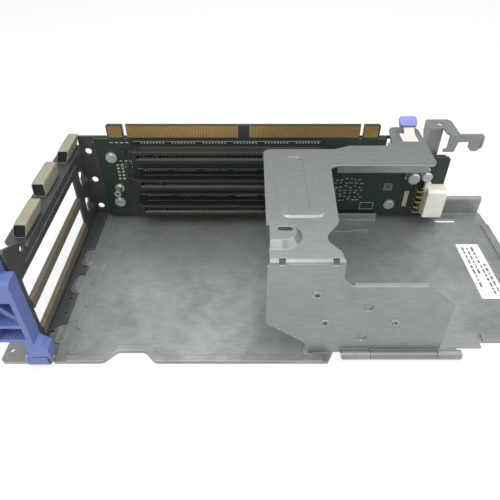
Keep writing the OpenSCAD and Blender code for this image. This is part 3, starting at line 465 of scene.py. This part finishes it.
class RISER_OT_fasteners(RiserOperator):
    """Finishes pins, rivets, screws, standoffs and the guide post."""

    bl_idname = "riser.fasteners"
    bl_label = "Fasteners"

    def build(self):
        plated = finish_material("plated_steel", (0.56, 0.55, 0.52), (0.9, 0.9, 0.88), 0.3, 0.85, "mottle",
                                 {"Cloud": 0.3, "Grain": 0.2}, bump=0.08, edge=0.0003)
        for node in ("board_screws", "board_standoffs", "guide_post", "wall_rivets", "hook_rivets",
                     "hinge_pin", "retainer_pin"):
            paint(node, plated)
        paint("latch_spring", finish_material(
            "spring_steel", (0.58, 0.54, 0.47), (0.9, 0.88, 0.82), 0.32, 0.7, "mottle",
            {"Cloud": 0.35, "Grain": 0.5}, bump=0.1, edge=0.0002))


class RISER_OT_board(RiserOperator):
    """Finishes the riser board and the parts soldered to it."""

    bl_idname = "riser.board"
    bl_label = "Riser board"

    def build(self):
        colours = finishes()
        paint("riser_board", board_material(colours))
        black = plastic("connector_plastic", (0.012, 0.012, 0.013), (0.10, 0.10, 0.10), 0.42, 0.1, 1.2)
        for node in SLOTS:
            paint(node, black)
        paint("board_chips", plastic("chip_resin", (0.016, 0.016, 0.017), (0.09, 0.09, 0.09), 0.55))
        paint("board_passives", plastic("chip_ceramic", (0.42, 0.36, 0.29), (0.7, 0.66, 0.6), 0.45))
        gold = finish_material("contact_gold", (0.62, 0.45, 0.2), (0.9, 0.75, 0.45), 0.3, 0.8, "mottle",
                               {"Cloud": 0.3, "Grain": 0.2}, bump=0.05, edge=0.0001)
        paint("slot_contacts", gold)
        paint("header_pins", gold)
        paint("power_header", plastic("header_nylon", colours.nylon_colour, (0.92, 0.9, 0.84), 0.45))
        paint("capacitors", finish_material(
            "can_aluminium", (0.52, 0.52, 0.54), (0.85, 0.85, 0.87), 0.3, 0.75, "mottle",
            {"Cloud": 0.2, "Grain": 0.3}, bump=0.08, edge=0.0004))


class RISER_OT_plastics(RiserOperator):
    """Finishes the card retainer and the latch cap."""

    bl_idname = "riser.plastics"
    bl_label = "Retainer and cap"

    def build(self):
        colours = finishes()
        # light and pale are the edge colours: partly wear, partly a painted highlight.
        light = tuple(min(1.0, 1.7 * c + 0.03) for c in colours.retainer_colour)
        paint("card_retainer", plastic("retainer_blue", colours.retainer_colour, light, 0.42, 0.12, 0.8))
        pale = tuple(min(1.0, 1.5 * c + 0.05) for c in colours.cap_colour)
        paint("latch_cap", plastic("cap_blue", colours.cap_colour, pale, 0.38, 0.12, 0.8, 0.0006))


class RISER_OT_fingers(RiserOperator):
    """Lays the plated fingers along both faces of the board's contact edge."""

    bl_idname = "riser.fingers"
    bl_label = "Contact fingers"

    def build(self):
        pitch = sizes().finger_pitch / MM
        height = sizes().finger_height / MM
        left_margin = 1.2
        right_margin = 0.8
        key_inset = 10.6        # end of the contact edge to its key notch
        key_width = 2.0
        key_margin = 0.5
        blank_start = 84.0      # stretch without fingers, from the left end
        blank_width = 7.0
        tip_margin = 0.7
        thick = 0.06
        finger_share = 0.74     # finger's width as a share of the pitch
        x = np.arange(EDGE_LEFT + left_margin, EDGE_LEFT + EDGE_LENGTH - right_margin, pitch)
        right_key = EDGE_LEFT + EDGE_LENGTH - key_inset - key_width
        for left in (EDGE_LEFT + key_inset, right_key):
            x = x[(x < left - key_margin) | (x > left + key_width + key_margin)]
        blank = EDGE_LEFT + blank_start
        x = x[(x < blank) | (x > blank + blank_width)]
        z = EDGE_TOP - tip_margin - height / 2
        rows = [np.stack([x, np.full_like(x, y), np.full_like(x, z)], -1)
                for y in (BOARD_FRONT - thick / 2, BOARD_BACK + thick / 2)]
        gold = finish_material("finger_gold", finishes().gold_colour, (0.8, 0.6, 0.3), 0.34, 0.55, "mottle",
                               {"Cloud": 0.6, "Grain": 0.3}, bump=0.05, edge=0.00005, wear_and_highlight=0.3)
        points, faces = blocks(np.concatenate(rows), (finger_share * pitch, thick, height))
        mesh_object("contact_fingers", points, faces, "cage", [gold])


class RISER_OT_solder(RiserOperator):
    """Places the rows of solder joints above each slot."""

    bl_idname = "riser.solder"
    bl_label = "Solder joints"

    def build(self):
        radius = sizes().joint_radius / MM
        joint_height = 0.4
        first_joint = 7.3       # slot's left end to its first joint
        last_margin = 1.5
        joint_pitch = 2.0
        group_pitch = 10        # joints and empty places in a group
        group_joints = 8
        row_rise = 0.66         # slot's top to its row of joints
        centres = []
        for slot in SLOTS:
            low, high = span(slot)
            x = np.arange(low[0] + first_joint, high[0] - last_margin, joint_pitch)
            x = x[(np.arange(len(x)) % group_pitch) < group_joints]
            z = high[2] + row_rise
            centres.append(np.stack([x, np.full_like(x, BOARD_FRONT), np.full_like(x, z)], -1))
        tin = finish_material("solder_tin", (0.72, 0.72, 0.7), (0.9, 0.9, 0.9), 0.25, 0.7, "mottle",
                              {"Cloud": 0.4, "Grain": 0.2}, bump=0.05, edge=0.00005, wear_and_highlight=0.2)
        points, faces = domes(np.concatenate(centres), radius, joint_height)
        mesh_object("solder_joints", points, faces, "cage", [tin])


class RISER_OT_marks(RiserOperator):
    """Prints the board's plain outlines and part marks in silk-screen ink."""

    bl_idname = "riser.marks"
    bl_label = "Silk-screen marks"

    def build(self):
        rng = np.random.default_rng(7)
        ink = plastic("silk_ink", (0.62, 0.64, 0.6), (0.7, 0.7, 0.68), 0.6, 0.05, 0.1, 0.00005)
        slot_line_rise = 1.9
        slot_line_margin = 2
        centres = []
        extents = []

        def bar(x, z, w, h):
            centres.append((x, BOARD_FRONT - INK_THICK / 2, z))
            extents.append((w, INK_THICK, h))

        def outline(x, z, w, h, line=0.22):
            for side in (-1, 1):
                bar(x + side * w / 2, z, line, h + line)
                bar(x, z + side * h / 2, w - line, line)

        outline(76.6, 27.7, 5.0, 5.0)
        outline(76.6, 27.7, 2.6, 2.6, 0.15)
        outline(64.0, 12.0, 9.0, 5.4)
        for z in (33.5, 28.0, 22.5, 17.0):
            for x in np.arange(32.0, 58.0, 3.1):
                bar(x + rng.uniform(-0.6, 0.6), z + rng.uniform(-0.9, 0.9), rng.uniform(0.9, 2.0), 0.45)
        for x in np.arange(-108.0, -97.0, 3.4):
            bar(x, 61.5, 1.8, 0.4)
            bar(x + 0.8, 48.5, 1.1, 0.4)
        for slot in SLOTS:
            low, high = span(slot)
            width = high[0] - low[0] - 2 * slot_line_margin
            bar((low[0] + high[0]) / 2, high[2] + slot_line_rise, width, 0.16)
        points, faces = blocks(centres, extents)
        mesh_object("silk_marks", points, faces, "cage", [ink])


class RISER_OT_chips(RiserOperator):
    """Solders small resistors and capacitors with tinned ends onto the board."""

    bl_idname = "riser.chips"
    bl_label = "Small chips"

    def build(self):
        rng = np.random.default_rng(11)
        places = [(x, z) for x in np.arange(-103.5, -97.5, 2.9) for z in np.arange(44.0, 48.5, 2.0)]
        places += [(x, z) for x in (-88.0, -84.5) for z in np.arange(29.0, 32.0, 1.6)]
        places += [(x, z) for x in np.arange(33.0, 60.0, 3.6) for z in (20.0, 25.4, 31.0)]
        places += [(x, 44.5) for x in np.arange(36.0, 62.0, 5.0)]
        places = np.array(places) + rng.uniform(-0.35, 0.35, (len(places), 2))
        count = len(places)
        body = np.stack([places[:, 0], np.full(count, BOARD_FRONT - 0.28), places[:, 1]], -1)
        end = np.array([0.62, 0, 0])
        bodies, body_faces = blocks(body, (1.0, 0.5, 0.75))
        ends, end_faces = blocks(np.concatenate([body - end, body + end]), (0.36, 0.54, 0.8))
        brown = plastic("chip_body", (0.10, 0.085, 0.07), (0.3, 0.26, 0.2), 0.5, 0.05, 0.4, 0.0001)
        tin = finish_material("chip_ends", (0.68, 0.68, 0.66), (0.9, 0.9, 0.9), 0.3, 0.7, "mottle",
                              {"Cloud": 0.3, "Grain": 0.2}, bump=0.05, edge=0.0001, wear_and_highlight=0.2)
        points = np.concatenate([bodies, ends])
        faces = np.concatenate([body_faces, end_faces + len(bodies)])
        part = np.repeat([0, 1], [len(body_faces), len(end_faces)])
        piece = mesh_object("small_chips", points, faces, "cage", [brown, tin], part)
        ease_edges(piece, 0.05)


class RISER_OT_label(RiserOperator):
    """Sticks a blank-form label with plain grey bars on the tray."""

    bl_idname = "riser.label"
    bl_label = "Tray label"

    def build(self):
        width = sizes().label_width / MM
        rng = np.random.default_rng(5)
        x0 = 120.5
        y0 = -24.5
        length = 51.0
        thick = 0.12
        ink_rise = 0.03
        paper = plastic("label_paper", (0.80, 0.81, 0.78), (0.7, 0.7, 0.68), 0.5, 0.05, 0.2, 0.0001)
        ink = plastic("label_ink", (0.11, 0.11, 0.11), (0.2, 0.2, 0.2), 0.6, 0.05, 0.1, 0.00005)
        sheet, sheet_faces = blocks([(x0 + width / 2, y0 + length / 2, FLOOR_TOP + thick / 2)],
                                    (width, length, thick))
        bars = []
        extents = []
        for column, (start, stop) in zip((0.22, 0.42, 0.64, 0.82), ((10, 47), (22, 48), (4, 49), (6, 30))):
            y = float(start)
            while y < stop:
                run = rng.uniform(1.2, 4.6)
                bars.append((x0 + column * width, y0 + y + run / 2, FLOOR_TOP + thick + ink_rise / 2))
                extents.append((rng.uniform(0.9, 1.5), run, ink_rise))
                y += run + rng.uniform(0.7, 1.6)
        marks, mark_faces = blocks(bars, extents)
        part = np.repeat([0, 1], [len(sheet_faces), len(mark_faces)])
        mesh_object("tray_label", np.concatenate([sheet, marks]),
                    np.concatenate([sheet_faces, mark_faces + len(sheet)]), "cage",
                    [paper, ink], part)


def seal_shell(node, lean):
    """Cloth-wrapped foam bar along Y. Its section is a leaning superellipse,
    x = w/2 sgn(cos t)|cos t|^0.28 + lean/2 sgn(sin t)|sin t|^0.28, z = h/2 sgn(sin t)|sin t|^0.28.
    Each ring is scaled by 1 - 0.05 s^8 + 0.006 sin(9 s), with s from -1 to 1 along the bar.
    Both ends close on a recessed middle."""
    low, high = span(node)
    around, along = 56, 40
    t = np.linspace(0, 2 * math.pi, around, endpoint=False) + math.pi / around
    wide = (high[0] - low[0] - abs(lean)) / 2 - 0.05
    tall = (high[2] - low[2]) / 2 - 0.05
    power = 0.28
    px = np.sign(np.cos(t)) * np.abs(np.cos(t)) ** power
    pz = np.sign(np.sin(t)) * np.abs(np.sin(t)) ** power
    s = np.linspace(-1, 1, along)
    swell = 1 - 0.05 * s ** 8 + 0.006 * np.sin(9 * s)
    middle = (np.array(low) + np.array(high)) / 2
    x = middle[0] + swell[:, None] * wide * px[None] + lean / 2 * pz[None]
    z = middle[2] + 0.02 + swell[:, None] * tall * pz[None]
    y = middle[1] + s[:, None] * (high[1] - low[1]) / 2 * np.ones(around)[None]
    shell = np.stack([x, y, z], -1)

    def ring(side, scale, inset):
        face = shell[side].copy()
        centre = face.mean(0)
        face = centre + (face - centre) * scale
        face[:, 1] += inset
        return face

    front = [ring(0, 0.9, 0.05), ring(0, 0.86, 0.7), ring(0, 0.4, 0.5), ring(0, 0.05, 0.55)]
    back = [ring(-1, 0.9, -0.05), ring(-1, 0.86, -0.7), ring(-1, 0.4, -0.5), ring(-1, 0.05, -0.55)]
    rings = np.concatenate([np.stack(front[::-1]), shell, np.stack(back)])
    count = len(rings)
    a = (np.arange(count - 1)[:, None] * around + np.arange(around)[None]).ravel()
    b = (np.arange(count - 1)[:, None] * around + (np.arange(around)[None] + 1) % around).ravel()
    faces = np.stack([a, b, b + around, a + around], -1)
    k = np.arange(around // 2 - 1)
    first = np.stack([k, k + 1, around - 2 - k, around - 1 - k], -1)[:, ::-1]
    last = np.stack([k, k + 1, around - 2 - k, around - 1 - k], -1) + (count - 1) * around
    band = np.repeat(np.arange(count - 1), around)
    foam = (band < len(front) - 1) | (band >= count - len(back))
    part = np.concatenate([foam.astype(int), np.ones(len(first) + len(last), int)])
    return rings.reshape(-1, 3), np.concatenate([faces, first, last]), part


class RISER_OT_seals(RiserOperator):
    """Makes the cloth-wrapped foam seals and finishes the clip-on seals."""

    bl_idname = "riser.seals"
    bl_label = "Seals"

    def build(self):
        cloth_colour = tuple(finishes().cloth_colour)
        cloth = finish_material("conductive_cloth", cloth_colour, tuple(1.25 * c for c in cloth_colour), 0.6,
                                0.15, "weave", {"Pitch": 1.0}, bump=0.35, edge=0.0003, wear_and_highlight=0.3)
        foam = plastic("foam_core", (0.012, 0.012, 0.013), (0.03, 0.03, 0.03), 0.9, 0.8, 0.2)
        for node, lean in zip(SEALS, (2.5, 0.4, 2.6)):
            points, faces, part = seal_shell(node, lean)
            piece = mesh_object(node + "_wrapped", points, faces, "cage", [cloth, foam],
                                part)
            piece.data.polygons.foreach_set("use_smooth", np.ones(len(piece.data.polygons), dtype=bool))
            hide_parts(node)
        khaki = finish_material("clip_seal", (0.20, 0.175, 0.12), (0.42, 0.38, 0.28), 0.5, 0.45, "weave",
                                {"Pitch": 1.0}, bump=0.2, edge=0.0003, wear_and_highlight=0.6)
        paint("slot_gasket_upper", khaki)
        paint("slot_gasket_lower", khaki)


class RISER_OT_stage(RiserOperator):
    """Sets the floor, the studio light, the world and the camera."""

    bl_idname = "riser.stage"
    bl_label = "Stage"

    def build(self):
        scene = bpy.context.scene
        scene.view_settings.view_transform = "Standard"
        self.floor()
        self.world()
        self.lamp("key_light", (-0.25, -0.55, 0.9), 0.9, 9.0)
        self.lamp("fill_light", (0.8, -0.35, 0.7), 0.8, 4.0)
        self.lamp("top_light", (0.05, 0.35, 1.0), 0.9, 5.0)
        down_tilt = 40.32       # degrees below level
        camera = bpy.data.cameras.new("camera")
        camera.lens = 35.28
        camera.sensor_width = 36.0
        camera.clip_start = 0.01
        holder = bpy.data.objects.new("camera", camera)
        holder.location = (-0.0185, -0.2291, 0.2131)
        holder.rotation_euler = (math.radians(90 - down_tilt), 0, 0)
        scene.collection.objects.link(holder)
        scene.camera = holder

    def lamp(self, name, place, size, power):
        """A soft square lamp that points at the cage."""
        light = bpy.data.lights.new(name, "AREA")
        light.energy = power
        light.size = size
        holder = bpy.data.objects.new(name, light)
        holder.location = place
        aim = np.array([0.0, 0.0, 0.03]) - np.array(place)
        yaw = math.atan2(aim[1], aim[0])
        pitch = math.atan2(math.hypot(aim[0], aim[1]), -aim[2])
        holder.rotation_euler = (pitch, 0, yaw - math.pi / 2)
        bpy.context.scene.collection.objects.link(holder)

    def seen(self, tree):
        """1 where a surface is seen by the camera, in a gloss or through glass."""
        path = tree.nodes.new("ShaderNodeLightPath")
        both = maths(tree, "ADD", path.outputs["Is Camera Ray"], path.outputs["Is Glossy Ray"], True)
        return maths(tree, "ADD", both, path.outputs["Is Transmission Ray"], True)

    def floor(self):
        """A flat grid under the cage, pale to the camera and still holding the shadow."""
        shown_white = 0.72      # share of plain white in the floor as the camera sees it
        side = np.linspace(-3, 3, 7) / MM
        x, y = np.meshgrid(side, side, indexing="ij")
        points = np.stack([x, y, np.full_like(x, -0.05)], -1).reshape(-1, 3)
        a = (np.arange(6)[:, None] * 7 + np.arange(6)[None]).ravel()
        faces = np.stack([a, a + 7, a + 8, a + 1], -1)
        mesh = bpy.data.meshes.new("floor")
        mesh.from_pydata((points * MM).tolist(), [], faces.tolist())
        material = bpy.data.materials.new("pale_floor")
        material.use_nodes = True
        tree = material.node_tree
        diffuse = tree.nodes["Principled BSDF"]
        diffuse.inputs["Base Color"].default_value = (0.86, 0.86, 0.86, 1)
        diffuse.inputs["Roughness"].default_value = 0.9
        diffuse.inputs["Specular IOR Level"].default_value = 0.0
        glow = tree.nodes.new("ShaderNodeEmission")
        glow.inputs["Color"].default_value = (1, 1, 1, 1)
        glow.inputs["Strength"].default_value = 1.0
        mix = tree.nodes.new("ShaderNodeMixShader")
        link(tree, maths(tree, "MULTIPLY", self.seen(tree), shown_white), mix.inputs["Fac"])
        link(tree, diffuse.outputs["BSDF"], mix.inputs[1])
        link(tree, glow.outputs["Emission"], mix.inputs[2])
        link(tree, mix.outputs["Shader"], tree.nodes["Material Output"].inputs["Surface"])
        mesh.materials.append(material)
        floor = bpy.data.objects.new("floor", mesh)
        bpy.context.scene.collection.objects.link(floor)

    def world(self):
        """Even studio light, with plain white behind the cage."""
        world = bpy.data.worlds.new("studio")
        bpy.context.scene.world = world
        world.use_nodes = True
        tree = world.node_tree
        sky = tree.nodes["Background"]
        sky.inputs["Color"].default_value = (0.97, 0.985, 1.0, 1)
        sky.inputs["Strength"].default_value = 0.5
        white = tree.nodes.new("ShaderNodeBackground")
        white.inputs["Color"].default_value = (1, 1, 1, 1)
        white.inputs["Strength"].default_value = 1.0
        mix = tree.nodes.new("ShaderNodeMixShader")
        path = tree.nodes.new("ShaderNodeLightPath")
        link(tree, path.outputs["Is Camera Ray"], mix.inputs["Fac"])
        link(tree, sky.outputs["Background"], mix.inputs[1])
        link(tree, white.outputs["Background"], mix.inputs[2])
        link(tree, mix.outputs["Shader"], tree.nodes["World Output"].inputs["Surface"])


BUILDERS = (RISER_OT_stage, RISER_OT_sheet, RISER_OT_fasteners, RISER_OT_board, RISER_OT_plastics,
            RISER_OT_fingers, RISER_OT_solder, RISER_OT_marks, RISER_OT_chips, RISER_OT_label, RISER_OT_seals)


class RISER_PT_panel(bpy.types.Panel):
    """Lists the cage's colours, sizes and builders."""

    bl_label = "Riser cage bracket"
    bl_idname = "RISER_PT_panel"
    bl_space_type = "VIEW_3D"
    bl_region_type = "UI"
    bl_category = "Riser Cage"

    def draw(self, context):
        for group in (context.scene.riser_cage_finishes, context.scene.riser_cage_sizes):
            for name in group.__annotations__:
                self.layout.prop(group, name)
        for builder in BUILDERS:
            self.layout.operator(builder.bl_idname)


CLASSES = (RiserCageFinishes, RiserCageSizes, *BUILDERS, RISER_PT_panel)


def register():
    """Registers the classes and the scene's settings."""
    for cls in CLASSES:
        bpy.utils.register_class(cls)
    bpy.types.Scene.riser_cage_finishes = bpy.props.PointerProperty(type=RiserCageFinishes)
    bpy.types.Scene.riser_cage_sizes = bpy.props.PointerProperty(type=RiserCageSizes)


def unregister():
    """Removes the settings and the classes."""
    del bpy.types.Scene.riser_cage_finishes
    del bpy.types.Scene.riser_cage_sizes
    for cls in reversed(CLASSES):
        bpy.utils.unregister_class(cls)


def main():
    register()
    for builder in BUILDERS:
        area, name = builder.bl_idname.split(".")
        getattr(getattr(bpy.ops, area), name)()


if __name__ == "__main__":
    main()
